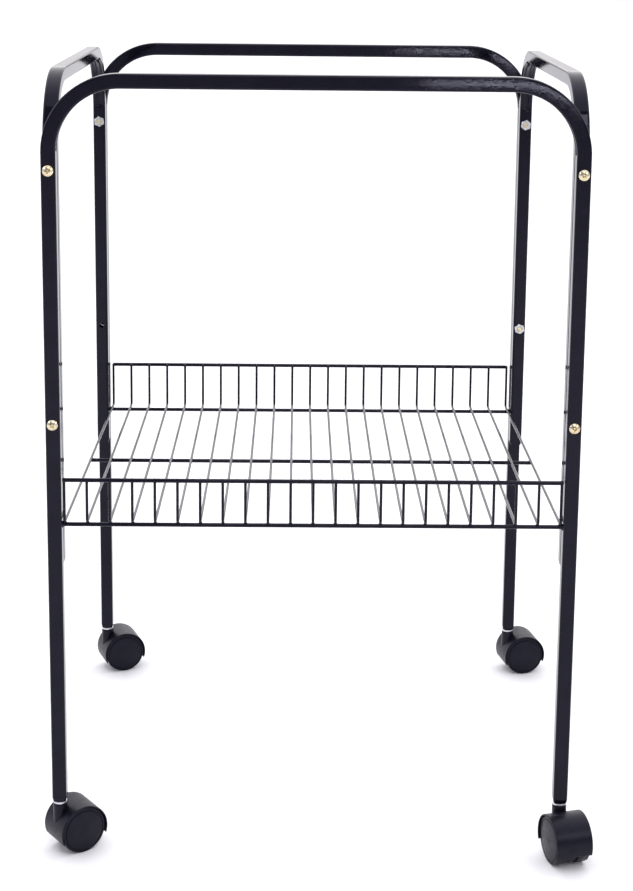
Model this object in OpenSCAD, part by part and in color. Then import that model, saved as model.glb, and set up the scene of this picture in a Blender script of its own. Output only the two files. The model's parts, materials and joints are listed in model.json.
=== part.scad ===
// Mobile printer stand: four bent square-tube frames, a wire paper basket and four twin-wheel casters.
// Origin: on the floor, in the middle of the footprint. +Z up, -Y is the front, +X is the right-hand side.

/* [Stand] */
// Width over the outer faces of the front legs
stand_width = 460; // [360:1:600]
// Depth over the front and back frames
stand_depth = 419; // [320:1:560]
// Height from the floor to the top of the frames
stand_height = 697.2; // [560:0.1:820]
// Height of the legs' lower ends above the floor
leg_end_height = 49; // [40:0.5:70]
// Shift of the stand's centre from the origin, left to right, that centres the footprint
footprint_shift_x = -12.6; // [-40:0.1:40]
// Shift of the stand's centre from the origin, front to back, that centres the footprint
footprint_shift_y = 5.9; // [-40:0.1:40]

/* [Frame tube] */
// Outside size of the square tube
tube = 12.7; // [10:0.1:25]
// Wall thickness of the tube
tube_wall = 1.2; // [0.8:0.1:2]
// Outside corner radius of the tube
tube_corner = 2; // [1.3:0.1:3]
// Bend radius of the tube's centre line
bend_radius = 60; // [40:1:90]
// Paint gap between two tubes that lie side by side
paint_gap = 0.2; // [0.1:0.05:0.5]
// Height of the side frames' lower ends
side_end_height = 267; // [200:1:320]
// How far a crimped tube end is drawn in on each side
crimp_inset = 0.8; // [0:0.1:1]
// Length of a crimped tube end
crimp_length = 4; // [2:0.5:8]

/* [Screws] */
// Height of the upper screws
upper_screw_height = 616; // [500:1:680]
// Height of the lower screws
lower_screw_height = 397; // [300:1:480]
// Screw shank diameter
screw_d = 4.8; // [3:0.1:6]
// Screw hole diameter in the tubes
screw_hole_d = 5.2; // [3.5:0.1:7]
// Pan head diameter
screw_head_d = 9.3; // [6:0.1:12]
// Pan head height
screw_head_h = 2.7; // [1.5:0.1:4]
// Radius of the pan head's dome
screw_dome_r = 6.5; // [5:0.1:20]
// How far the screw end stands out of its nut
screw_end = 1.2; // [0:0.1:5]
// Width of the Phillips recess's arms
recess_w = 1.1; // [0.6:0.1:2]
// Length across the Phillips recess
recess_l = 5; // [3:0.1:7]
// Depth of the Phillips recess
recess_depth = 1.5; // [0.5:0.1:2]
// Nut size across the flats
nut_flats = 9.5; // [6:0.1:12]
// Nut thickness
nut_h = 3.2; // [2:0.1:6]

/* [Wire basket] */
// Diameter of the thick cross wires
thick_wire_d = 3.7; // [3:0.1:6]
// Diameter of the thin U-shaped wires
thin_wire_d = 2.3; // [1.5:0.1:4]
// Number of thin U-shaped wires
thin_wires = 23; // [9:1:40]
// Distance between the outermost thin wires
basket_width = 430; // [300:1:560]
// Height of the lower front cross wire
front_wire_height = 306.5; // [200:0.5:400]
// Height of the lower back cross wire
back_wire_height = 299.5; // [200:0.5:400]
// Height of the upper front cross wire
front_top_wire_height = 348.3; // [250:0.5:450]
// Height of the upper back cross wire
back_top_wire_height = 346.2; // [250:0.5:450]
// Distance from the back legs' centre back to the back upright wires
back_upright_offset = 10.8; // [5:0.1:20]
// Bend radius of the thin wires' centre line
wire_bend = 4; // [3:0.1:8]
// Gap left between two welded wires
weld_gap = 0.03; // [0:0.01:0.1]
// How far a cross wire reaches into a leg
wire_reach = 5; // [2:0.1:9]

/* [Casters] */
// Wheel diameter
wheel_d = 42; // [30:1:60]
// Thickness of a wheel at its tread
tread_w = 8.4; // [6:0.1:14]
// Radius of the dome on a wheel's outer face
wheel_dome_r = 60; // [40:1:120]
// Distance from the swivel axis to the wheels' axle
trail = 15.5; // [10:0.1:25]
// Outside radius of the hood
hood_r = 22.9; // [21:0.1:34]
// Thickness of the hood
hood_wall = 1.4; // [1:0.1:4]
// Width of the hood over both wheels
hood_w = 34; // [26:0.5:50]
// How far the hood reaches below the axle on its neck side, in degrees
hood_reach = 23; // [0:1:40]
// Width of the web between the wheels
web_w = 9; // [8.2:0.1:14]
// Height of the web's lower edge above the floor
web_height = 5.5; // [3:0.5:12]
// Neck diameter
neck_d = 12.8; // [10:0.1:16]
// Height of the neck's top above the floor
neck_height = 46.5; // [42:0.1:60]
// Axle diameter
axle_d = 4; // [3:0.1:6]
// Diameter of the swivel stem in the leg
stem_d = 7.9; // [6:0.1:10]
// Diameter of the stem's lower end, held in the hood
spigot_d = 6; // [4:0.1:7]
// Height of the stem's top
stem_top = 80; // [60:1:100]
// Diameter of the zinc collar under the leg
collar_d = 12.4; // [10:0.1:16]
// Diameter of the socket sleeve inside the leg
socket_d = 10.1; // [9:0.1:10.2]
// Running clearance between a shaft and its hole, on the radius
running_fit = 0.05; // [0.02:0.01:0.1]
// Gap between the web and a wheel
side_gap = 0.5; // [0.3:0.1:1]
// Direction that the front left caster trails in, in degrees from +X
trail_front_left = 35; // [-180:1:180]
// Direction that the front right caster trails in
trail_front_right = -75; // [-180:1:180]
// Direction that the back left caster trails in
trail_back_left = 21.5; // [-180:0.5:180]
// Direction that the back right caster trails in
trail_back_right = 12; // [-180:1:180]

/* [Hidden] */
$fn = 48;
leg_x = (stand_width - tube) / 2;
leg_y = (stand_depth - tube) / 2;
side_leg_y = leg_y - tube - paint_gap;
screw_heights = [lower_screw_height, upper_screw_height];
screw_grip = 2 * tube + paint_gap;
thick_r = thick_wire_d / 2;
thin_r = thin_wire_d / 2;
wire_step = thick_r + thin_r + weld_gap;
thin_pitch = basket_width / (thin_wires - 1);
floor_slope = atan((front_wire_height - back_wire_height) / (2 * leg_y));
floor_centre_height = (front_wire_height + back_wire_height) / 2 + wire_step / cos(floor_slope);
front_upright_y = -leg_y - wire_bend;
back_upright_y = leg_y + back_upright_offset;
front_floor_height = floor_centre_height + leg_y * tan(floor_slope);
back_floor_height = floor_centre_height - leg_y * tan(floor_slope);
front_upright = front_top_wire_height + thick_r - front_floor_height;
back_upright = back_top_wire_height + thick_r - back_floor_height;
front_top_wire_y = upright_y(front_upright_y, front_top_wire_height) - wire_step;
back_top_wire_y = upright_y(back_upright_y, back_top_wire_height) + wire_step;
top_wire_length = basket_width + 2 * thin_r;
leg_inner_x = leg_x - tube / 2;
wheel_r = wheel_d / 2;
axle_z = wheel_r;
axle_r = axle_d / 2;
wheel_inner_x = web_w / 2 + side_gap;
wheel_edge_x = wheel_inner_x + tread_w;
dome_rise = wheel_dome_r - sqrt(pow(wheel_dome_r, 2) - pow(wheel_r, 2));
wheel_face_x = wheel_edge_x + dome_rise;
axle_half = wheel_face_x - 2;
spigot_foot = axle_z + 3;
neck_foot = axle_z + 18;
black = [0.02, 0.02, 0.025];
satin_black = [0.04, 0.04, 0.05];
zinc = [0.78, 0.78, 0.76];
yellow_zinc = [0.83, 0.74, 0.5];

// ---- shared shapes ----

// A square with rounded corners, centred on the origin
module rounded_square(size, corner) {
    flat = size - 2 * corner;
    square([size, flat], center = true);
    square([flat, size], center = true);
    for (sx = [-1, 1], sy = [-1, 1])
        translate([sx * flat / 2, sy * flat / 2]) circle(r = corner);
}

// The tube's hollow section
module tube_section() {
    difference() {
        rounded_square(tube, tube_corner);
        rounded_square(tube - 2 * tube_wall, tube_corner - tube_wall);
    }
}

// One quarter bend in the XZ plane, from the +X side round to the +Z side
module tube_bend() {
    rotate([90, 0, 0])
        rotate_extrude(angle = 90)
            translate([bend_radius, 0]) tube_section();
}

// An upside-down U of tube in the XZ plane, with its legs at +-half
module arch(half, foot) {
    spring_height = stand_height - tube / 2 - bend_radius;
    for (side = [-1, 1])
        translate([side * half, 0, foot]) linear_extrude(spring_height - foot) tube_section();
    translate([bend_radius - half, 0, stand_height - tube / 2])
        rotate([0, 90, 0]) linear_extrude(2 * (half - bend_radius)) tube_section();
    translate([half - bend_radius, 0, spring_height]) tube_bend();
    translate([bend_radius - half, 0, spring_height]) rotate([0, 0, 180]) tube_bend();
}

// What is cut away from a tube end to crimp it, with the end at z = 0
module crimp_cut() {
    for (turn = [0:90:270])
        rotate([0, 0, turn])
            translate([tube / 2, 0, crimp_length])
                rotate([0, atan(crimp_inset / crimp_length), 0])
                    translate([0, -tube, -3 * crimp_length])
                        cube([tube, 2 * tube, 3 * crimp_length]);
}

// A front or back frame, in its own plane: crimped legs, screw holes and holes for its cross wire
module end_frame(wire_height) {
    difference() {
        arch(leg_x, leg_end_height);
        for (side = [-1, 1]) {
            translate([side * leg_x, 0, leg_end_height]) crimp_cut();
            for (height = screw_heights)
                translate([side * leg_x, 0, height]) rotate([90, 0, 0])
                    cylinder(h = 2 * tube, d = screw_hole_d, center = true);
            translate([side * leg_inner_x, 0, wire_height]) rotate([0, 90, 0])
                cylinder(h = tube / 2, r = thick_r + running_fit, center = true);
        }
    }
}

// A side frame, in its own plane
module side_frame() {
    rotate([0, 0, 90])
        difference() {
            arch(side_leg_y, side_end_height);
            for (side = [-1, 1]) {
                translate([side * side_leg_y, 0, side_end_height]) crimp_cut();
                for (height = screw_heights)
                    translate([side * side_leg_y, 0, height]) rotate([0, 90, 0])
                        cylinder(h = 2 * tube, d = screw_hole_d, center = true);
            }
        }
}

// Puts its child at every screw that is fitted, with the head at z = 0 and pointing to -Z
module at_screws() {
    for (end = [-1, 1], side = [-1, 1], height = screw_heights) {
        left_out = end > 0 && side < 0 && height == lower_screw_height;
        if (!left_out)
            translate([side * leg_x, end * (leg_y + tube / 2), height])
                rotate([end > 0 ? 90 : -90, 0, 0]) children();
    }
}

// A pan head screw with a cross recess
module screw() {
    cylinder(h = screw_grip + nut_h + screw_end, d = screw_d);
    difference() {
        intersection() {
            translate([0, 0, -screw_head_h]) cylinder(h = screw_head_h, d = screw_head_d);
            translate([0, 0, screw_dome_r - screw_head_h]) sphere(r = screw_dome_r, $fn = 72);
        }
        for (turn = [0, 90])
            rotate([0, 0, turn])
                translate([-recess_l / 2, -recess_w / 2, -screw_head_h - 1])
                    cube([recess_l, recess_w, recess_depth + 1]);
    }
}

// A hexagon nut on the inner side of the two tubes
module nut() {
    translate([0, 0, screw_grip])
        difference() {
            rotate([0, 0, 30]) cylinder(h = nut_h, d = nut_flats / cos(30), $fn = 6);
            translate([0, 0, -1]) cylinder(h = nut_h + 2, r = screw_d / 2 + running_fit);
        }
}

// A straight wire along X
module cross_wire(length, radius) {
    rotate([0, 90, 0]) cylinder(h = length, r = radius, center = true);
}

// Y of a tilted upright wire, standing at the given foot, where it reaches the given height
function upright_y(foot_y, height) =
    foot_y * cos(floor_slope)
    + (height - floor_centre_height + foot_y * sin(floor_slope)) * tan(floor_slope);

// A quarter turn of thin wire in the YZ plane, starting at the given angle
module wire_turn(start) {
    rotate([90, 0, 90])
        rotate([0, 0, start])
            rotate_extrude(angle = 90)
                translate([wire_bend, 0]) circle(r = thin_r);
}

// One U-shaped wire: front upright, floor and back upright, tilted as a whole with the floor's slope
module basket_wire() {
    front_y = front_upright_y + wire_bend;
    back_y = back_upright_y - wire_bend;
    translate([0, 0, floor_centre_height])
        rotate([-floor_slope, 0, 0]) {
            translate([0, front_upright_y, wire_bend]) cylinder(h = front_upright - wire_bend, r = thin_r);
            translate([0, front_y, wire_bend]) wire_turn(180);
            translate([0, front_y, 0]) rotate([-90, 0, 0]) cylinder(h = back_y - front_y, r = thin_r);
            translate([0, back_y, wire_bend]) wire_turn(270);
            translate([0, back_upright_y, wire_bend]) cylinder(h = back_upright - wire_bend, r = thin_r);
        }
}

// ---- frame and basket ----

module front_frame() {
    color(black) translate([0, -leg_y, 0]) end_frame(front_wire_height);
}

module back_frame() {
    color(black) translate([0, leg_y, 0]) end_frame(back_wire_height);
}

module left_side_frame() {
    color(black) translate([-leg_x, 0, 0]) side_frame();
}

module right_side_frame() {
    color(black) translate([leg_x, 0, 0]) side_frame();
}

module frame_screws() {
    color(yellow_zinc) at_screws() screw();
}

module frame_nuts() {
    color(zinc) at_screws() nut();
}

module basket_thin_wires() {
    color(black)
        for (i = [0:thin_wires - 1])
            translate([(i - (thin_wires - 1) / 2) * thin_pitch, 0, 0]) basket_wire();
}

module basket_front_top_wire() {
    color(black) translate([0, front_top_wire_y, front_top_wire_height])
        cross_wire(top_wire_length, thick_r);
}

module basket_front_wire() {
    color(black) translate([0, -leg_y, front_wire_height])
        cross_wire(2 * (leg_inner_x + wire_reach), thick_r);
}

module basket_middle_wire() {
    color(black) translate([0, 0, (front_wire_height + back_wire_height) / 2])
        cross_wire(top_wire_length, thick_r);
}

module basket_back_wire() {
    color(black) translate([0, leg_y, back_wire_height])
        cross_wire(2 * (leg_inner_x + wire_reach), thick_r);
}

module basket_back_top_wire() {
    color(black) translate([0, back_top_wire_y, back_top_wire_height])
        cross_wire(top_wire_length, thick_r);
}

// ---- caster pieces, with the swivel axis on Z and the wheels trailing towards +Y ----

// The zinc sleeve in the leg, with its collar below the tube
module socket() {
    color(zinc)
        difference() {
            union() {
                translate([0, 0, neck_height + 0.4])
                    cylinder(h = leg_end_height - neck_height - 0.4, d = collar_d);
                translate([0, 0, leg_end_height]) cylinder(h = stem_top + 2 - leg_end_height, d = socket_d);
            }
            translate([0, 0, neck_height - 1])
                cylinder(h = stem_top + 2 - neck_height, r = stem_d / 2 + running_fit);
        }
}

// The steel stem that swivels in the sleeve
module stem() {
    color(zinc) {
        translate([0, 0, spigot_foot]) cylinder(h = neck_foot - spigot_foot, d = spigot_d);
        translate([0, 0, neck_foot]) cylinder(h = stem_top - neck_foot, d = stem_d);
    }
}

// Lays a child's XY outline across the caster, with its X towards the trail and its Y up
module across(width) {
    translate([0, trail, axle_z]) rotate([90, 0, 90]) linear_extrude(width, center = true) children();
}

// Outline of the curved hood seen from the side
module hood_outline() {
    far = 2 * hood_r;
    difference() {
        circle(r = hood_r, $fn = 96);
        circle(r = hood_r - hood_wall, $fn = 96);
        polygon([[0, 0], [-far * cos(hood_reach), -far * sin(hood_reach)], [-far, -far], [far, -far], [far, 0]]);
    }
}

// Outline of the web between the wheels, cut off above the floor
module web_outline() {
    difference() {
        circle(r = hood_r - hood_wall / 2, $fn = 96);
        translate([-hood_r, -2 * hood_r - axle_z + web_height]) square(2 * hood_r);
        polygon([[0, -hood_r], [hood_r, -hood_r], [hood_r, 0], [hood_r - 3 * hood_wall, 0]]);
    }
}

// The hood with its web and neck
module hood() {
    color(satin_black)
        difference() {
            union() {
                across(hood_w) hood_outline();
                across(web_w) web_outline();
                difference() {
                    translate([0, 0, axle_z]) cylinder(h = neck_height - axle_z, d = neck_d);
                    across(hood_w) circle(r = hood_r - hood_wall, $fn = 96);
                }
            }
            translate([0, 0, spigot_foot - 0.5])
                cylinder(h = neck_height, r = spigot_d / 2 + running_fit);
            translate([0, 0, neck_foot - 0.1]) cylinder(h = neck_height, r = stem_d / 2 + running_fit);
            across(2 * hood_w) circle(r = axle_r + running_fit);
        }
}

module axle() {
    color(zinc) across(2 * axle_half) circle(r = axle_r);
}

// One wheel with its dished back and domed face; side is -1 or 1
module wheel(side) {
    dish_r = wheel_r - 2.5;
    hub_r = axle_r + 3;
    dish_x = wheel_inner_x + tread_w * 0.6;
    color(satin_black)
        translate([0, trail, axle_z]) rotate([0, side * 90, 0])
            rotate_extrude($fn = 96)
                difference() {
                    intersection() {
                        translate([0, wheel_inner_x]) square([wheel_r, wheel_face_x]);
                        translate([0, wheel_face_x - wheel_dome_r]) circle(r = wheel_dome_r, $fn = 180);
                    }
                    translate([-1, 0]) square([axle_r + running_fit + 1, axle_half + 0.3]);
                    translate([hub_r, 0]) square([dish_r - hub_r, dish_x]);
                }
}

// Puts its children under one leg, turned to the direction they trail in
module caster_at(side, end, direction) {
    translate([side * leg_x, end * leg_y, 0]) rotate([0, 0, direction - 90]) children();
}

module front_left_socket() { caster_at(-1, -1, trail_front_left) socket(); }
module front_left_stem() { caster_at(-1, -1, trail_front_left) stem(); }
module front_left_hood() { caster_at(-1, -1, trail_front_left) hood(); }
module front_left_axle() { caster_at(-1, -1, trail_front_left) axle(); }
module front_left_wheel_a() { caster_at(-1, -1, trail_front_left) wheel(-1); }
module front_left_wheel_b() { caster_at(-1, -1, trail_front_left) wheel(1); }
module front_right_socket() { caster_at(1, -1, trail_front_right) socket(); }
module front_right_stem() { caster_at(1, -1, trail_front_right) stem(); }
module front_right_hood() { caster_at(1, -1, trail_front_right) hood(); }
module front_right_axle() { caster_at(1, -1, trail_front_right) axle(); }
module front_right_wheel_a() { caster_at(1, -1, trail_front_right) wheel(-1); }
module front_right_wheel_b() { caster_at(1, -1, trail_front_right) wheel(1); }
module back_left_socket() { caster_at(-1, 1, trail_back_left) socket(); }
module back_left_stem() { caster_at(-1, 1, trail_back_left) stem(); }
module back_left_hood() { caster_at(-1, 1, trail_back_left) hood(); }
module back_left_axle() { caster_at(-1, 1, trail_back_left) axle(); }
module back_left_wheel_a() { caster_at(-1, 1, trail_back_left) wheel(-1); }
module back_left_wheel_b() { caster_at(-1, 1, trail_back_left) wheel(1); }
module back_right_socket() { caster_at(1, 1, trail_back_right) socket(); }
module back_right_stem() { caster_at(1, 1, trail_back_right) stem(); }
module back_right_hood() { caster_at(1, 1, trail_back_right) hood(); }
module back_right_axle() { caster_at(1, 1, trail_back_right) axle(); }
module back_right_wheel_a() { caster_at(1, 1, trail_back_right) wheel(-1); }
module back_right_wheel_b() { caster_at(1, 1, trail_back_right) wheel(1); }

// ---- the stand ----

translate([footprint_shift_x, footprint_shift_y, 0]) {
    front_frame();
    back_frame();
    left_side_frame();
    right_side_frame();
    frame_screws();
    frame_nuts();
    basket_thin_wires();
    basket_front_top_wire();
    basket_front_wire();
    basket_middle_wire();
    basket_back_wire();
    basket_back_top_wire();
    front_left_socket();
    front_left_stem();
    front_left_hood();
    front_left_axle();
    front_left_wheel_a();
    front_left_wheel_b();
    front_right_socket();
    front_right_stem();
    front_right_hood();
    front_right_axle();
    front_right_wheel_a();
    front_right_wheel_b();
    back_left_socket();
    back_left_stem();
    back_left_hood();
    back_left_axle();
    back_left_wheel_a();
    back_left_wheel_b();
    back_right_socket();
    back_right_stem();
    back_right_hood();
    back_right_axle();
    back_right_wheel_a();
    back_right_wheel_b();
}
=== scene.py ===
"""Looks of a mobile printer stand: enamelled tube frames, a wire basket and twin-wheel casters."""
import json
import math
import bmesh
import bpy
from mathutils import Matrix, Vector


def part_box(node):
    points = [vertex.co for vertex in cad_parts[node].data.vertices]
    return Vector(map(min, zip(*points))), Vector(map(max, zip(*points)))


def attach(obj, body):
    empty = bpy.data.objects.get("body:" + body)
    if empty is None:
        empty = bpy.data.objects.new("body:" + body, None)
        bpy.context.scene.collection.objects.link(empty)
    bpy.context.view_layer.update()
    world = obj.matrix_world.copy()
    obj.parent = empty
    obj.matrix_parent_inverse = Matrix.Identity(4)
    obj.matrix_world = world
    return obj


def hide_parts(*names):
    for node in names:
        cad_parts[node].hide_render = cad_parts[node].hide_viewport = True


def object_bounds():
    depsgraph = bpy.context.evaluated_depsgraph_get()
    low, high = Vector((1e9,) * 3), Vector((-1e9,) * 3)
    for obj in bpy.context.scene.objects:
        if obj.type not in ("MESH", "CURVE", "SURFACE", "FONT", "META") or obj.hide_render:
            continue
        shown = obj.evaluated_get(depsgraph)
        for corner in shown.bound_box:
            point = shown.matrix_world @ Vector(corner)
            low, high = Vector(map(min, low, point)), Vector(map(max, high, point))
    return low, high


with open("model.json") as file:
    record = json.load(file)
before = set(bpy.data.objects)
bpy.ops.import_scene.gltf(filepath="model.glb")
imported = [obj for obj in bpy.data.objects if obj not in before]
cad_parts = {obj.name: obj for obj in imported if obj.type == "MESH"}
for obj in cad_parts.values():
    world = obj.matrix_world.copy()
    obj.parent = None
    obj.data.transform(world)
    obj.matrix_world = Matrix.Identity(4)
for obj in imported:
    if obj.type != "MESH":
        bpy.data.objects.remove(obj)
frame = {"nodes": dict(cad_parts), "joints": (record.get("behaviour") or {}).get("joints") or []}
cad_low, cad_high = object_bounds()

MM = 0.001
X, Y, Z = Vector((1, 0, 0)), Vector((0, 1, 0)), Vector((0, 0, 1))
joints = {joint["name"]: joint for joint in frame["joints"]}


def middle(node):
    low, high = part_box(node)
    return (low + high) / 2


# ---- sizes that several parts share, from the frame where it gives them ----

front_low, front_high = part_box("front_frame")
side_low, side_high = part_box("left_side_frame")
screws_low, screws_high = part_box("frame_screws")
wire_low, wire_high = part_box("basket_middle_wire")
CENTRE = middle("front_frame").lerp(middle("back_frame"), 0.5)
TUBE = front_high.y - front_low.y
TOP = front_high.z
LEG_FOOT = front_low.z
SIDE_FOOT = side_low.z
LEG_X = (front_high.x - front_low.x - TUBE) / 2
SIDE_Y = (side_high.y - side_low.y - TUBE) / 2
THICK = (wire_high.y - wire_low.y) / 2
HEAD_D, HEAD_H, HEAD_DOME = 9.3 * MM, 2.7 * MM, 6.5 * MM
LOWER = screws_low.z + HEAD_D / 2
UPPER = screws_high.z - HEAD_D / 2
SHARP = 35
POINT = 0.01 * MM


# ---- materials ----

def principled(name, **sockets):
    """A node material with a Principled shader whose sockets have the given values."""
    material = bpy.data.materials.new(name)
    material.use_nodes = True
    nodes, links = material.node_tree.nodes, material.node_tree.links
    shader = nodes["Principled BSDF"]
    for socket, value in sockets.items():
        shader.inputs[socket.replace("_", " ")].default_value = value
    return material, nodes, links, shader


def noise(nodes, links, scale, detail=3.0):
    """Noise in the object's own space; scale is in features per metre."""
    place = nodes.new("ShaderNodeTexCoord")
    texture = nodes.new("ShaderNodeTexNoise")
    texture.inputs["Scale"].default_value = scale
    texture.inputs["Detail"].default_value = detail
    links.new(place.outputs["Object"], texture.inputs["Vector"])
    return texture.outputs["Fac"]


def ramp(nodes, links, source, stops):
    """A colour ramp from (position, colour) stops."""
    node = nodes.new("ShaderNodeValToRGB")
    elements = node.color_ramp.elements
    while len(elements) < len(stops):
        elements.new(0.5)
    for element, (position, colour) in zip(elements, stops):
        element.position = position
        element.color = (*colour, 1)
    links.new(source, node.inputs["Fac"])
    return node.outputs["Color"]


def spread(nodes, links, source, low, high):
    """Maps the middle of a noise's values to a range."""
    node = nodes.new("ShaderNodeMapRange")
    node.inputs["From Min"].default_value = 0.3
    node.inputs["From Max"].default_value = 0.7
    node.inputs["To Min"].default_value = low
    node.inputs["To Max"].default_value = high
    links.new(source, node.inputs["Value"])
    return node.outputs["Result"]


def bump(nodes, links, source, shader, strength, distance):
    """Gives a shader's surface a relief of the given depth."""
    node = nodes.new("ShaderNodeBump")
    node.inputs["Strength"].default_value = strength
    node.inputs["Distance"].default_value = distance
    links.new(source, node.inputs["Height"])
    links.new(node.outputs["Normal"], shader.inputs["Normal"])


def coating(name, tint, roughness, grain, **sockets):
    """A coating varied by tint (scale, stops), roughness (scale, low, high) and grain.

    The grain is (scale, detail, strength, depth).
    """
    material, nodes, links, shader = principled(name, **sockets)
    tint_scale, stops = tint
    rough_scale, rough_low, rough_high = roughness
    grain_scale, detail, strength, depth = grain
    links.new(ramp(nodes, links, noise(nodes, links, tint_scale), stops), shader.inputs["Base Color"])
    rough = spread(nodes, links, noise(nodes, links, rough_scale), rough_low, rough_high)
    links.new(rough, shader.inputs["Roughness"])
    bump(nodes, links, noise(nodes, links, grain_scale, detail), shader, strength, depth)
    return material


DARK_SHEEN = (0.8, 0.78, 1.0, 1.0)
# glossy enamel with a faint orange peel
ENAMEL_TINTS = [(0.3, (0.003, 0.003, 0.006)), (0.7, (0.005, 0.005, 0.010))]
# satin moulded plastic with a fine grain
PLASTIC_TINTS = [(0.3, (0.003, 0.003, 0.006)), (0.7, (0.006, 0.006, 0.011))]
# bright plate with fine drawing marks
ZINC_TINTS = [(0.3, (0.55, 0.56, 0.58)), (0.7, (0.74, 0.75, 0.76))]
# the patchy warm and greenish tints of yellow passivation
YELLOW_TINTS = [(0.3, (0.62, 0.50, 0.30)), (0.5, (0.74, 0.65, 0.43)), (0.7, (0.68, 0.65, 0.50))]
MATERIALS = {
    "black_enamel": coating(
        "black_enamel", (60, ENAMEL_TINTS), (140, 0.04, 0.1), (420, 1.0, 0.12, 0.2 * MM),
        IOR=1.3, Specular_Tint=DARK_SHEEN),
    "black_plastic": coating(
        "black_plastic", (90, PLASTIC_TINTS), (260, 0.3, 0.42), (2600, 2.0, 0.22, 0.15 * MM),
        IOR=1.31, Specular_Tint=DARK_SHEEN),
    "zinc": coating(
        "zinc", (300, ZINC_TINTS), (700, 0.22, 0.42), (1800, 2.0, 0.15, 0.1 * MM), Metallic=1.0),
    "yellow_zinc": coating(
        "yellow_zinc", (260, YELLOW_TINTS), (800, 0.2, 0.36), (1500, 2.0, 0.15, 0.1 * MM), Metallic=1.0),
}


# ---- mesh making ----

def turn(sides):
    """The angles of a full turn in equal steps."""
    return [math.tau * i / sides for i in range(sides)]


def arc(x, y, radius, first, last, steps):
    """Points on an arc about (x, y), from one angle to another in degrees."""
    angles = [math.radians(first + (last - first) * step / steps) for step in range(steps + 1)]
    return [(x + radius * math.cos(angle), y + radius * math.sin(angle)) for angle in angles]


def circle(place, radius, height, sides):
    """Points round a place's own Z."""
    return [place @ Vector((radius * math.cos(a), radius * math.sin(a), height)) for a in turn(sides)]


def skin(mesh, rings, closed=False):
    """Joins rings of points, all of one length, into a capped bar or a closed loop."""
    made = [[mesh.verts.new(point) for point in points] for points in rings]
    count = len(rings[0])
    pairs = list(zip(made, made[1:]))
    if closed:
        pairs.append((made[-1], made[0]))
    for a, b in pairs:
        for i in range(count):
            j = (i + 1) % count
            mesh.faces.new((a[i], a[j], b[j], b[i]))
    if not closed:
        mesh.faces.new(made[0][::-1])
        mesh.faces.new(made[-1])


def lathe(mesh, profile, sides, place):
    """Turns a closed outline of (radius, height) points round a place's Z."""
    skin(mesh, [circle(place, radius, height, sides) for radius, height in profile], closed=True)


def rod(mesh, path, radius, sides):
    """A round bar with domed ends along a path in a plane that contains X or is at right angles to it."""
    rings = []
    last = len(path) - 1
    dome = [(0.0, 0.35), (0.12, 0.75), (0.35, 0.95), (1.0, 1.0)]
    for i, point in enumerate(path):
        ahead = (path[min(i + 1, last)] - path[max(i - 1, 0)]).normalized()
        side = Y if abs(ahead.x) > 0.5 else X
        up = ahead.cross(side)
        stations = [(point, radius)]
        if i == 0:
            stations = [(point + ahead * radius * along, radius * wide) for along, wide in dome]
        if i == last:
            stations = [(point - ahead * radius * along, radius * wide) for along, wide in dome[::-1]]
        for centre, wide in stations:
            rings.append([centre + wide * (side * math.cos(a) + up * math.sin(a)) for a in turn(sides)])
    skin(mesh, rings)


def to_object(name, mesh):
    """Turns a bmesh into an object of the scene."""
    data = bpy.data.meshes.new(name)
    mesh.to_mesh(data)
    mesh.free()
    piece = bpy.data.objects.new(name, data)
    bpy.context.scene.collection.objects.link(piece)
    return piece


def smooth(data, sharp):
    data.shade_smooth()
    data.set_sharp_from_angle(angle=math.radians(sharp))


def finish_piece(name, mesh, body, slot, nodes, sharp=SHARP):
    """Turns a bmesh into a smooth-shaded piece that rides a body in place of CAD nodes."""
    bmesh.ops.remove_doubles(mesh, verts=mesh.verts, dist=0.001 * MM)
    bmesh.ops.recalc_face_normals(mesh, faces=mesh.faces)
    piece = to_object(name, mesh)
    smooth(piece.data, sharp)
    piece.data.materials.append(MATERIALS[slot])
    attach(piece, body)
    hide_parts(*nodes)
    return piece


def cut(piece, mesh):
    """Takes a bmesh's volume away from a piece."""
    bmesh.ops.recalc_face_normals(mesh, faces=mesh.faces)
    cutter = to_object("cutter", mesh)
    modifier = piece.modifiers.new("cut", "BOOLEAN")
    modifier.object = cutter
    modifier.solver = "EXACT"
    modifier.use_self = True
    bpy.context.view_layer.update()
    graph = bpy.context.evaluated_depsgraph_get()
    result = bpy.data.meshes.new_from_object(piece.evaluated_get(graph))
    piece.modifiers.clear()
    piece.data = result
    bpy.data.objects.remove(cutter)
    smooth(result, SHARP)


def weigh_normals(piece):
    """Keeps broad flat faces flat beside small rounded edges."""
    modifier = piece.modifiers.new("weigh", "WEIGHTED_NORMAL")
    modifier.keep_sharp = True


# ---- tube frames ----

CORNER, WALL, BEND = 2 * MM, 1.2 * MM, 60 * MM
CORNER_STEPS, BEND_STEPS, RUN_OUT_STEPS = 6, 40, 5
CRIMP_LENGTH, CRIMP_INSET = 4 * MM, 0.8 * MM
END_HOLLOW = 40 * MM
GROOVE_WIDTH, GROOVE_DEPTH = 3.6 * MM, 1.3 * MM
GROOVE_POINTS = 14
GROOVE_RUN_OUT = 0.035
HOLE_R = 2.6 * MM
HOLE_PLACE = Vector((CENTRE.x - LEG_X, middle("back_frame").y - TUBE / 2, LOWER))


def tube_profile(size, corner):
    """Points (outward, across) of a rounded square, with extra ones over the inner face for the groove."""
    half = size / 2 - corner
    points = []
    for quarter, (out, over) in enumerate(((1, 1), (-1, 1), (-1, -1), (1, -1))):
        first = 90 * quarter
        points += arc(out * half, over * half, corner, first, first + 90, CORNER_STEPS)
        if quarter == 1:
            points += [(-size / 2, half * (1 - 2 * k / GROOVE_POINTS)) for k in range(1, GROOVE_POINTS)]
    return [Vector(point) for point in points]


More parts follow.
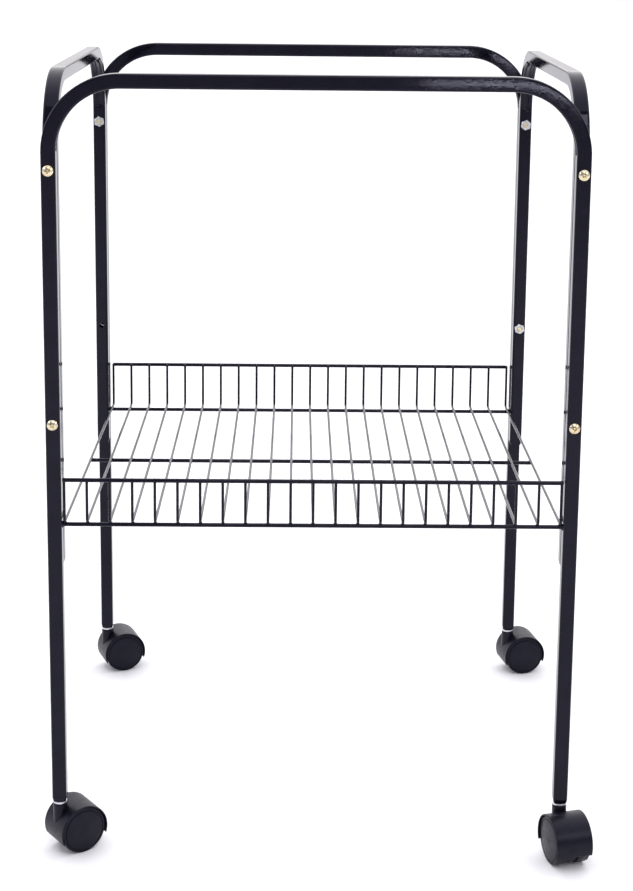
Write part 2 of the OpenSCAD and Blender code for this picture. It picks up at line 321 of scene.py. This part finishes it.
def grooved(point, amount):
    """Presses the inner face of the tube in, most at its middle."""
    near = abs(point.y) / GROOVE_WIDTH
    if point.x > -TUBE / 2 + CORNER / 4 or near >= 1 or amount <= 0:
        return point
    return Vector((point.x + GROOVE_DEPTH * amount * (1 - near ** 2) ** 2, point.y))


def arch_stations(half, foot):
    """(along, height, outward angle, groove amount) from one foot to the other of an arch."""
    spring = TOP - TUBE / 2 - BEND
    run_out = [GROOVE_RUN_OUT * step / RUN_OUT_STEPS for step in range(RUN_OUT_STEPS)]
    full_steps = BEND_STEPS - 2
    full = [GROOVE_RUN_OUT + (1 - 2 * GROOVE_RUN_OUT) * step / full_steps for step in range(full_steps + 1)]
    right = [(half, foot + CRIMP_LENGTH + 2 * MM, 0, 0.0), (half, spring - 1 * MM, 0, 0.0)]
    for share in run_out + full + [1 - share for share in run_out[::-1]]:
        angle = share * math.pi / 2
        near_end = min(min(share, 1 - share) / GROOVE_RUN_OUT, 1)
        amount = near_end * near_end * (3 - 2 * near_end)
        right.append((half - BEND + BEND * math.cos(angle), spring + BEND * math.sin(angle), angle, amount))
    left = [(-u, z, math.pi - angle, amount) for u, z, angle, amount in right]
    return left + right[::-1]


def arch(mesh, centre, along, half, foot):
    """A square tube arch with open crimped ends, in the vertical plane through centre that holds along."""
    across = Z.cross(along)
    outer = tube_profile(TUBE, CORNER)
    inner = tube_profile(TUBE - 2 * WALL, CORNER - WALL)

    def station(u, z, angle, points, squeeze, amount):
        outward = along * math.cos(angle) + Z * math.sin(angle)
        at = centre + along * u
        at.z = z
        shrink = 1 - 2 * squeeze / TUBE
        pressed = [grooved(point, amount) * shrink for point in points]
        return [at + outward * point.x + across * point.y for point in pressed]

    def end(side):
        """One end, from the hollow inside it round the mouth to its crimped outside."""
        stages = [
            (END_HOLLOW, inner, 0.0), (CRIMP_LENGTH + 0.5 * MM, inner, 0.0),
            (0.3 * MM, inner, CRIMP_INSET), (0.0, inner, CRIMP_INSET - 0.2 * MM),
            (0.0, outer, CRIMP_INSET + 0.3 * MM), (0.3 * MM, outer, CRIMP_INSET),
            (CRIMP_LENGTH - 0.6 * MM, outer, 0.08 * MM), (CRIMP_LENGTH, outer, 0.0)]
        angle = 0 if side > 0 else math.pi
        return [station(side * half, foot + height, angle, points, squeeze, 0.0)
                for height, points, squeeze in stages]

    body = [station(u, z, angle, outer, 0.0, amount) for u, z, angle, amount in arch_stations(half, foot)]
    skin(mesh, end(-1) + body + end(1)[::-1])


def hole_drill():
    """The empty screw hole, with the hollow of the two tubes that it goes through."""
    drill = bmesh.new()
    place = Matrix.Translation(HOLE_PLACE) @ Matrix.Rotation(math.pi / 2, 4, "X")
    reach = 4 * TUBE
    skin(drill, [circle(place, HOLE_R, height, 32) for height in (-reach, reach)])
    inside = TUBE - 2 * WALL
    for side in (-1, 1):
        at = Matrix.Translation(HOLE_PLACE + Y * side * (TUBE / 2))
        bmesh.ops.create_cube(drill, size=1, matrix=at @ Matrix.Diagonal((inside, inside, 3 * TUBE, 1)))
    return drill


def tube_frame(node, along, half, foot):
    mesh = bmesh.new()
    arch(mesh, middle(node), along, half, foot)
    piece = finish_piece(node + "_enamelled", mesh, "stand", "black_enamel", [node])
    if node in ("back_frame", "left_side_frame"):
        cut(piece, hole_drill())
    weigh_normals(piece)


tube_frame("front_frame", X, LEG_X, LEG_FOOT)
tube_frame("back_frame", X, LEG_X, LEG_FOOT)
tube_frame("left_side_frame", Y, SIDE_Y, SIDE_FOOT)
tube_frame("right_side_frame", Y, SIDE_Y, SIDE_FOOT)


# ---- basket ----

THIN, THIN_WIRES, THIN_INSET = 1.25 * MM, 23, 1.15 * MM
WIRE_STEP = THICK + 1.18 * MM
WIRE_BEND, WIRE_BEND_STEPS = 4 * MM, 8
BACK_OVERHANG = 10.8 * MM
BEAD = (1.55 * MM, 1.5 * MM, 1.5 * MM)
BEAD_OUT = THICK + 0.1 * MM
COLLAR_STAGES = ((-0.2, -0.2), (1.5, -0.2), (1.3, 0.25), (0.7, 0.8), (0.2, 1.7), (-0.2, 2.0))

front_wire, middle_wire, back_wire = (middle(f"basket_{name}_wire") for name in ("front", "middle", "back"))
front_top, back_top = middle("basket_front_top_wire"), middle("basket_back_top_wire")
LEG_Y = (back_wire.y - front_wire.y) / 2
slope = math.atan2(front_wire.z - back_wire.z, back_wire.y - front_wire.y)
floor_middle = Matrix.Translation((CENTRE.x, CENTRE.y, middle_wire.z + WIRE_STEP / math.cos(slope)))
TILT = floor_middle @ Matrix.Rotation(-slope, 4, "X")
thin_low, thin_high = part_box("basket_thin_wires")
thin_half = (thin_high.x - thin_low.x) / 2 - THIN_INSET
wire_places = [thin_half * (2 * i / (THIN_WIRES - 1) - 1) for i in range(THIN_WIRES)]


def fence_height(top_wire):
    """Height of the thin wires' ends at a fence, in the tilted basket frame."""
    return (TILT.inverted() @ Vector((CENTRE.x, top_wire.y, top_wire.z))).z + THICK / 2


def thin_wire_path(x):
    """Path of one thin wire: down the front fence, over the floor and up the back fence."""
    front_foot, back_foot = -LEG_Y - WIRE_BEND, LEG_Y + BACK_OVERHANG
    outline = [(front_foot, fence_height(front_top))]
    outline += arc(front_foot + WIRE_BEND, WIRE_BEND, WIRE_BEND, 180, 270, WIRE_BEND_STEPS)
    outline += arc(back_foot - WIRE_BEND, WIRE_BEND, WIRE_BEND, 270, 360, WIRE_BEND_STEPS)
    outline.append((back_foot, fence_height(back_top)))
    return [TILT @ Vector((x, y, z)) for y, z in outline]


def thin_wires():
    mesh = bmesh.new()
    for x in wire_places:
        rod(mesh, thin_wire_path(x), THIN, 14)
    finish_piece("basket_thin_wires_enamelled", mesh, "stand", "black_enamel", ["basket_thin_wires"])


def weld_beads(name, wire, out):
    """Painted resistance welds: a small flattened bead wherever a thin wire crosses a thick one."""
    mesh = bmesh.new()
    for x in wire_places:
        place = Matrix.Translation(Vector((CENTRE.x + x, wire.y, wire.z)) + out) @ Matrix.Diagonal((*BEAD, 1))
        bmesh.ops.create_uvsphere(mesh, u_segments=14, v_segments=8, radius=1.0, matrix=place)
    finish_piece(name, mesh, "stand", "black_enamel", [])


def cross_wire(name, ends_welded):
    """A thick cross wire, with painted weld collars where it enters the legs."""
    node = f"basket_{name}_wire"
    low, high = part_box(node)
    at = middle(node)
    mesh = bmesh.new()
    rod(mesh, [Vector((x, at.y, at.z)) for x in (low.x, at.x, high.x)], THICK, 24)
    if ends_welded:
        collar_profile = [(THICK + wide * MM, out * MM) for wide, out in COLLAR_STAGES]
        for side in (-1, 1):
            face = CENTRE.x + side * (LEG_X - TUBE / 2)
            place = Matrix.Translation((face, at.y, at.z)) @ Matrix.Rotation(-side * math.pi / 2, 4, "Y")
            lathe(mesh, collar_profile, 24, place)
    finish_piece(f"{node}_enamelled", mesh, "stand", "black_enamel", [node], 60)


thin_wires()
for wire_name in ("front_top", "front", "middle", "back", "back_top"):
    cross_wire(wire_name, wire_name in ("front", "back"))
weld_beads("welds_front", front_wire, Z * BEAD_OUT)
weld_beads("welds_middle", middle_wire, Z * BEAD_OUT)
weld_beads("welds_back", back_wire, Z * BEAD_OUT)
weld_beads("welds_front_top", front_top, Y * BEAD_OUT)
weld_beads("welds_back_top", back_top, -Y * BEAD_OUT)


# ---- screws and nuts ----

SHANK, PITCH, THREAD_ROOT = 2.4 * MM, 0.8 * MM, 0.84
NUT_FLATS, NUT_H = 9.5 * MM, 3.2 * MM
NUT_CHAMFER = 0.97
GRIP = 2 * TUBE + 0.2 * MM
SCREW_END = 1.2 * MM
HEAD_STEPS = 8


def screw_places():
    """Matrices at the head's underside, with Z into the tubes, for every screw that is fitted."""
    for end in (-1, 1):
        for side in (-1, 1):
            for height in (LOWER, UPPER):
                if end > 0 and side < 0 and height == LOWER:
                    continue
                at = Vector((CENTRE.x + side * LEG_X, CENTRE.y + end * (LEG_Y + TUBE / 2), height))
                degrees = 17 + 23 * side + 31 * end + 40 * (height == UPPER)
                spin = Matrix.Rotation(math.radians(degrees), 4, "Z")
                yield Matrix.Translation(at) @ Matrix.Rotation(end * math.pi / 2, 4, "X") @ spin


def screw_profile():
    """Outline (radius, height) of a screw, from the crown of its head to its tip."""
    def crown(radius):
        return HEAD_DOME - math.sqrt(HEAD_DOME ** 2 - radius ** 2) - HEAD_H

    rim = HEAD_D / 2
    radii = [rim * step / HEAD_STEPS for step in range(HEAD_STEPS + 1)]
    profile = [(max(radius, POINT), crown(radius)) for radius in radii]
    profile += [(rim, crown(rim) + 0.1 * MM), (rim - 0.15 * MM, 0), (SHANK, 0)]
    tip = GRIP + NUT_H + SCREW_END
    start = GRIP + NUT_H - 0.5 * MM
    while start < tip - PITCH:
        profile += [(SHANK * THREAD_ROOT, start), (SHANK, start + PITCH * 0.4), (SHANK, start + PITCH * 0.6)]
        start += PITCH
    return profile + [(SHANK * THREAD_ROOT, start), (SHANK * 0.8, tip), (POINT, tip)]


def screws():
    """Pan head screws with a cross recess."""
    mesh = bmesh.new()
    recesses = bmesh.new()
    corners = ((-1, -1), (1, -1), (1, 1), (-1, 1))
    recess = [(2.6 * MM, 0.75 * MM, -HEAD_H - 1 * MM), (2.5 * MM, 0.7 * MM, -HEAD_H),
              (1.0 * MM, 0.4 * MM, -HEAD_H + 1.8 * MM)]
    for place in screw_places():
        skin(mesh, [circle(place, radius, height, 48) for radius, height in screw_profile()])
        for quarter in (0, math.pi / 2):
            spin = place @ Matrix.Rotation(quarter, 4, "Z")
            skin(recesses, [[spin @ Vector((x * long, y * wide, height)) for x, y in corners]
                            for long, wide, height in recess])
    piece = finish_piece("frame_screws_plated", mesh, "stand", "yellow_zinc", ["frame_screws"])
    cut(piece, recesses)


def nuts():
    """Hexagon nuts whose corners are chamfered by a cone."""
    mesh = bmesh.new()

    def hexagon(angle, limit):
        turned = (angle + math.pi / 6) % (math.pi / 3) - math.pi / 6
        return min(NUT_FLATS / 2 / math.cos(turned), limit)

    corner = NUT_FLATS / 2 / math.cos(math.pi / 6)
    face = NUT_FLATS / 2 * NUT_CHAMFER
    bore = SHANK + 0.02 * MM
    stages = [(bore, 0.0), (face, 0.0), (corner, 0.5 * MM), (corner, NUT_H - 0.6 * MM),
              (face, NUT_H), (bore + 0.4 * MM, NUT_H), (bore, NUT_H - 0.4 * MM)]
    for place in screw_places():
        rings = []
        for limit, height in stages:
            ring = []
            for angle in turn(72):
                radius = hexagon(angle, limit)
                x, y = radius * math.cos(angle), radius * math.sin(angle)
                ring.append(place @ Vector((x, y, GRIP + height)))
            rings.append(ring)
        skin(mesh, rings, closed=True)
    finish_piece("frame_nuts_plated", mesh, "stand", "zinc", ["frame_nuts"], 25)


screws()
nuts()


# ---- casters, made with the swivel axis on Z and the wheels trailing towards +Y ----

socket_low, socket_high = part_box("front_left_socket")
WHEEL_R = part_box("front_left_wheel_a")[1].z / 2
WHEEL_INNER, WHEEL_EDGE, WHEEL_DOME = 5 * MM, 15.3 * MM, 140 * MM
HUB_R, HUB_END, DISH_DEPTH = 5 * MM, 1.7 * MM, 5 * MM
RIM, RIM_STEP = WHEEL_R - 2.4 * MM, 0.45 * MM
TREAD_ROUND, EDGE_ROUND = 0.8 * MM, 0.7 * MM
HOOD_R, HOOD_WALL, HOOD_HALF = 22.9 * MM, 1.4 * MM, 17 * MM
HOOD_MEAN = HOOD_R - HOOD_WALL / 2
HOOD_REACH, TRAIL_REACH = 23, 19
WEB_HALF, WEB_FLOOR_GAP = 4.5 * MM, 4 * MM
NECK_R, NECK_TOP = 6.4 * MM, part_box("front_left_hood")[1].z
AXLE_R, AXLE_GAP, BOSS_R = 2 * MM, 0.05 * MM, 4.6 * MM
COLLAR_R, SLEEVE_R, SOCKET_BORE = 6.2 * MM, 5.05 * MM, 4 * MM


def caster_place(corner):
    """The matrix that puts a caster's own frame under its leg, and its trail."""
    swivel = Vector(joints[corner + "_swivel"]["pos_m"])
    axle = Vector(joints[corner + "_roll_a"]["pos_m"])
    ahead = Vector((axle.x - swivel.x, axle.y - swivel.y, 0))
    heading = math.atan2(ahead.y, ahead.x) - math.pi / 2
    return Matrix.Translation((swivel.x, swivel.y, 0)) @ Matrix.Rotation(heading, 4, "Z"), ahead.length


def hood_shell(mesh, place, trail):
    """The curved hood: a rounded strip bent round the axle, closed by rounded tips."""
    edge = 0.6 * MM
    side, top, under = HOOD_HALF - edge, HOOD_R - edge, HOOD_R - HOOD_WALL + edge
    strip = []
    for quarter, (across, radius) in enumerate(((side, top), (-side, top), (-side, under), (side, under))):
        strip += arc(across, radius, edge, 90 * quarter, 90 * quarter + 90, 4)
    start, stop = -TRAIL_REACH, 180 + HOOD_REACH
    tips = [(0.0, 0.45), (0.35, 0.8), (0.9, 0.95), (2.6, 1.0)]
    tip_length = tips[-1][0]
    span = stop - start - 2 * tip_length
    stations = [(start + along, share) for along, share in tips]
    stations += [(start + tip_length + span * i / 60, 1.0) for i in range(1, 60)]
    stations += [(stop - along, share) for along, share in tips[::-1]]
    rings = []
    for degrees, share in stations:
        angle = math.radians(degrees)
        inset = edge * (1 - share)
        ring = []
        for across, radius in strip:
            r = HOOD_MEAN + (radius - HOOD_MEAN) * share
            ring.append(place @ Vector((across - math.copysign(inset, across),
                                        trail + r * math.cos(angle), WHEEL_R + r * math.sin(angle))))
        rings.append(ring)
    skin(mesh, rings)


def hood_web(mesh, place, trail):
    """The plate between the wheels, cut away above the floor, with a boss round the axle on each side."""
    edge = 0.5 * MM
    outline = []
    for degrees in range(-TRAIL_REACH, 360 - TRAIL_REACH, 5):
        radius = HOOD_MEAN if degrees <= 180 + HOOD_REACH else WHEEL_R - 1.2 * MM
        angle = math.radians(degrees)
        height = max(radius * math.sin(angle), WEB_FLOOR_GAP - WHEEL_R)
        outline.append(Vector((radius * math.cos(angle), height)))
    stages = ((-WEB_HALF, edge), (edge - WEB_HALF, 0), (WEB_HALF - edge, 0), (WEB_HALF, edge))
    rings = []
    for across, inset in stages:
        inner = [point - point.normalized() * inset for point in outline]
        rings.append([place @ Vector((across, trail + point.x, WHEEL_R + point.y)) for point in inner])
    skin(mesh, rings)
    bore = AXLE_R + AXLE_GAP
    boss = [(bore, WEB_HALF - 1 * MM), (BOSS_R, WEB_HALF - 1 * MM), (BOSS_R, WEB_HALF + 0.2 * MM),
            (BOSS_R - 0.3 * MM, WEB_HALF + 0.4 * MM), (bore, WEB_HALF + 0.4 * MM)]
    for side in (-1, 1):
        lathe(mesh, boss, 40, on_axle(place, trail, side))


def on_axle(place, trail, side):
    """A place on the axle whose Z points outwards on one side of the caster."""
    return place @ Matrix.Translation((0, trail, WHEEL_R)) @ Matrix.Rotation(side * math.pi / 2, 4, "Y")


def hood_neck(mesh, place, trail):
    """The neck, from its foot on the hood's curve up to a rounded mouth."""
    foot = []
    for angle in turn(56):
        x, y = NECK_R * math.cos(angle), NECK_R * math.sin(angle)
        z = WHEEL_R + math.sqrt(max(HOOD_MEAN ** 2 - (y - trail) ** 2, 0))
        foot.append(place @ Vector((x, y, z)))
    stages = [(NECK_R, NECK_TOP - 1.5 * MM), (NECK_R - 0.25 * MM, NECK_TOP - 0.4 * MM),
              (NECK_R - 0.8 * MM, NECK_TOP), (4.6 * MM, NECK_TOP), (4.1 * MM, NECK_TOP - 0.5 * MM)]
    skin(mesh, [foot] + [circle(place, radius, height, 56) for radius, height in stages])


def wheel(mesh, place, trail, side):
    """A dished wheel with a rounded tread, a rim step and a slightly domed disc."""
    def dome(radius):
        return math.sqrt(WHEEL_DOME ** 2 - radius ** 2)

    def face(radius):
        return WHEEL_EDGE + dome(radius) - dome(WHEEL_R)

    bore, dish, hub_end = AXLE_R + AXLE_GAP, WHEEL_INNER + DISH_DEPTH, WHEEL_EDGE + HUB_END
    profile = [(bore, WHEEL_INNER), (HUB_R, WHEEL_INNER), (HUB_R, dish), (RIM, dish),
               (RIM + 0.1 * MM, WHEEL_INNER + 0.6 * MM), (RIM + 0.5 * MM, WHEEL_INNER)]
    profile += arc(WHEEL_R - TREAD_ROUND, WHEEL_INNER + TREAD_ROUND, TREAD_ROUND, -90, 0, 4)
    profile += arc(WHEEL_R - EDGE_ROUND, WHEEL_EDGE - 0.5 * MM, EDGE_ROUND, 0, 90, 4)
    step_foot = face(RIM) - 0.2 * MM - RIM_STEP
    profile += [(RIM + 0.5 * MM, face(RIM) - 0.15 * MM), (RIM + 0.15 * MM, step_foot),
                (RIM - 0.35 * MM, step_foot), (RIM - 0.7 * MM, face(RIM) - 0.1 * MM)]
    profile += [(RIM * k / 14, face(RIM * k / 14) - 0.05 * MM) for k in range(13, 0, -1)]
    profile += [(2 * POINT, face(0) - 0.05 * MM), (2 * POINT, hub_end), (bore, hub_end)]
    lathe(mesh, profile, 96, on_axle(place, trail, side))


def collar(mesh, place):
    """The zinc socket: a rolled collar under the leg and the sleeve above it."""
    low, high = socket_low.z, LEG_FOOT
    profile = [
        (SOCKET_BORE, low), (COLLAR_R - 0.4 * MM, low), (COLLAR_R - 0.1 * MM, low + 0.15 * MM),
        (COLLAR_R, low + 0.5 * MM), (COLLAR_R, high - 0.5 * MM), (COLLAR_R - 0.15 * MM, high - 0.1 * MM),
        (COLLAR_R - 0.5 * MM, high), (SLEEVE_R, high), (SLEEVE_R, socket_high.z - 0.4 * MM),
        (SLEEVE_R - 0.25 * MM, socket_high.z), (SOCKET_BORE, socket_high.z)]
    lathe(mesh, profile, 56, place)


def caster(corner):
    place, trail = caster_place(corner)
    mesh = bmesh.new()
    hood_shell(mesh, place, trail)
    hood_web(mesh, place, trail)
    hood_neck(mesh, place, trail)
    node = corner + "_hood"
    hood = finish_piece(node + "_moulded", mesh, corner + "_caster", "black_plastic", [node])
    weigh_normals(hood)
    for letter, side in (("a", -1), ("b", 1)):
        mesh = bmesh.new()
        wheel(mesh, place, trail, side)
        node = f"{corner}_wheel_{letter}"
        finish_piece(node + "_moulded", mesh, node, "black_plastic", [node], 30)
    mesh = bmesh.new()
    collar(mesh, place)
    finish_piece(corner + "_socket_plated", mesh, "stand", "zinc", [corner + "_socket"])
    for part in ("stem", "axle"):
        bare = frame["nodes"][f"{corner}_{part}"]
        bare.data.materials.clear()
        bare.data.materials.append(MATERIALS["zinc"])


for corner_name in ("front_left", "front_right", "back_left", "back_right"):
    caster(corner_name)


# ---- stage, camera and light ----

FLOOR_R = 30
FLOOR_TINTS = [(0.3, (0.9, 0.9, 0.9)), (0.7, (0.92, 0.92, 0.92))]
# from the front (-Y) round to the back (+Y)
WORLD_TINTS = [
    (0.0, (0.20, 0.20, 0.25)), (0.40, (0.30, 0.30, 0.36)),
    (0.62, (0.90, 0.88, 0.98)), (1.0, (1.0, 0.98, 1.0))]
CAMERA_PLACE = Vector((-0.0165, -1.6944, 0.8153))
CAMERA_YAW, CAMERA_PITCH, CAMERA_ROLL = 0.01255, 0.18901, 0.01012
CAMERA_LENS = 72.52
CAMERA_SHIFT = (-0.0017, -0.1935)


def floor():
    mesh = bmesh.new()
    bmesh.ops.create_circle(mesh, cap_ends=True, segments=96, radius=FLOOR_R)
    piece = to_object("floor", mesh)
    piece.location = (0, 0, cad_low.z)
    material, nodes, links, shader = principled("floor", Roughness=0.9, Specular_IOR_Level=0.1)
    links.new(ramp(nodes, links, noise(nodes, links, 0.6), FLOOR_TINTS), shader.inputs["Base Color"])
    piece.data.materials.append(material)


def area_light(name, place, aim, size, power, colour=(1, 1, 1)):
    """A rectangular lamp, (width, height) in metres, that the camera doesn't see."""
    data = bpy.data.lights.new(name, "AREA")
    data.shape = "RECTANGLE"
    data.size, data.size_y = size
    data.energy = power
    data.color = colour
    lamp = bpy.data.objects.new(name, data)
    lamp.location = place
    lamp.rotation_euler = (Vector(aim) - Vector(place)).to_track_quat("-Z", "Y").to_euler()
    bpy.context.scene.collection.objects.link(lamp)
    lamp.visible_camera = False


def studio_world():
    """A soft white surround that is dimmer at the front, where the room is dark."""
    world = bpy.data.worlds.new("studio")
    bpy.context.scene.world = world
    world.use_nodes = True
    nodes, links = world.node_tree.nodes, world.node_tree.links
    direction = nodes.new("ShaderNodeTexCoord")
    parts = nodes.new("ShaderNodeSeparateXYZ")
    links.new(direction.outputs["Generated"], parts.inputs["Vector"])
    place = nodes.new("ShaderNodeMapRange")
    place.inputs["From Min"].default_value = -1
    links.new(parts.outputs["Y"], place.inputs["Value"])
    background = nodes["Background"]
    links.new(ramp(nodes, links, place.outputs["Result"], WORLD_TINTS), background.inputs["Color"])
    background.inputs["Strength"].default_value = 1.1


def lights():
    """A broad ceiling that runs on behind the stand, and small lamps for the glints on its front."""
    studio_world()
    stand = (0, 0, 0.4)
    area_light("ceiling", (0, 10.5, 4.0), (0, 10.5, 0), (9, 25), 730)
    area_light("front_top", (0.3, -2.6, 3.2), stand, (1.6, 1.0), 26)
    area_light("left", (-3.0, -1.2, 2.2), stand, (1.6, 1.6), 24, (0.96, 0.95, 1.0))
    area_light("right", (2.6, -2.2, 2.0), stand, (1.2, 1.2), 24)
    area_light("front_strip", (0.36, -1.75, 0.565), (0.15, -0.2, 0.69), (0.34, 0.02), 0.35)


def camera():
    """A long lens a little above the top bars, shifted down to keep the uprights nearly parallel."""
    data = bpy.data.cameras.new("camera")
    data.lens = CAMERA_LENS
    data.shift_x, data.shift_y = CAMERA_SHIFT
    viewer = bpy.data.objects.new("camera", data)
    ahead = Vector((math.sin(CAMERA_YAW), math.cos(CAMERA_YAW), 0))
    level = Vector((math.cos(CAMERA_YAW), -math.sin(CAMERA_YAW), 0))
    forward = ahead * math.cos(CAMERA_PITCH) - Z * math.sin(CAMERA_PITCH)
    upright = level.cross(forward)
    right = level * math.cos(CAMERA_ROLL) + upright * math.sin(CAMERA_ROLL)
    over = upright * math.cos(CAMERA_ROLL) - level * math.sin(CAMERA_ROLL)
    viewer.matrix_world = Matrix((
        (right.x, over.x, -forward.x, CENTRE.x + CAMERA_PLACE.x),
        (right.y, over.y, -forward.y, CENTRE.y + CAMERA_PLACE.y),
        (right.z, over.z, -forward.z, CAMERA_PLACE.z),
        (0, 0, 0, 1)))
    bpy.context.scene.collection.objects.link(viewer)
    bpy.context.scene.camera = viewer


floor()
lights()
camera()
bpy.context.scene.view_settings.view_transform = "Standard"
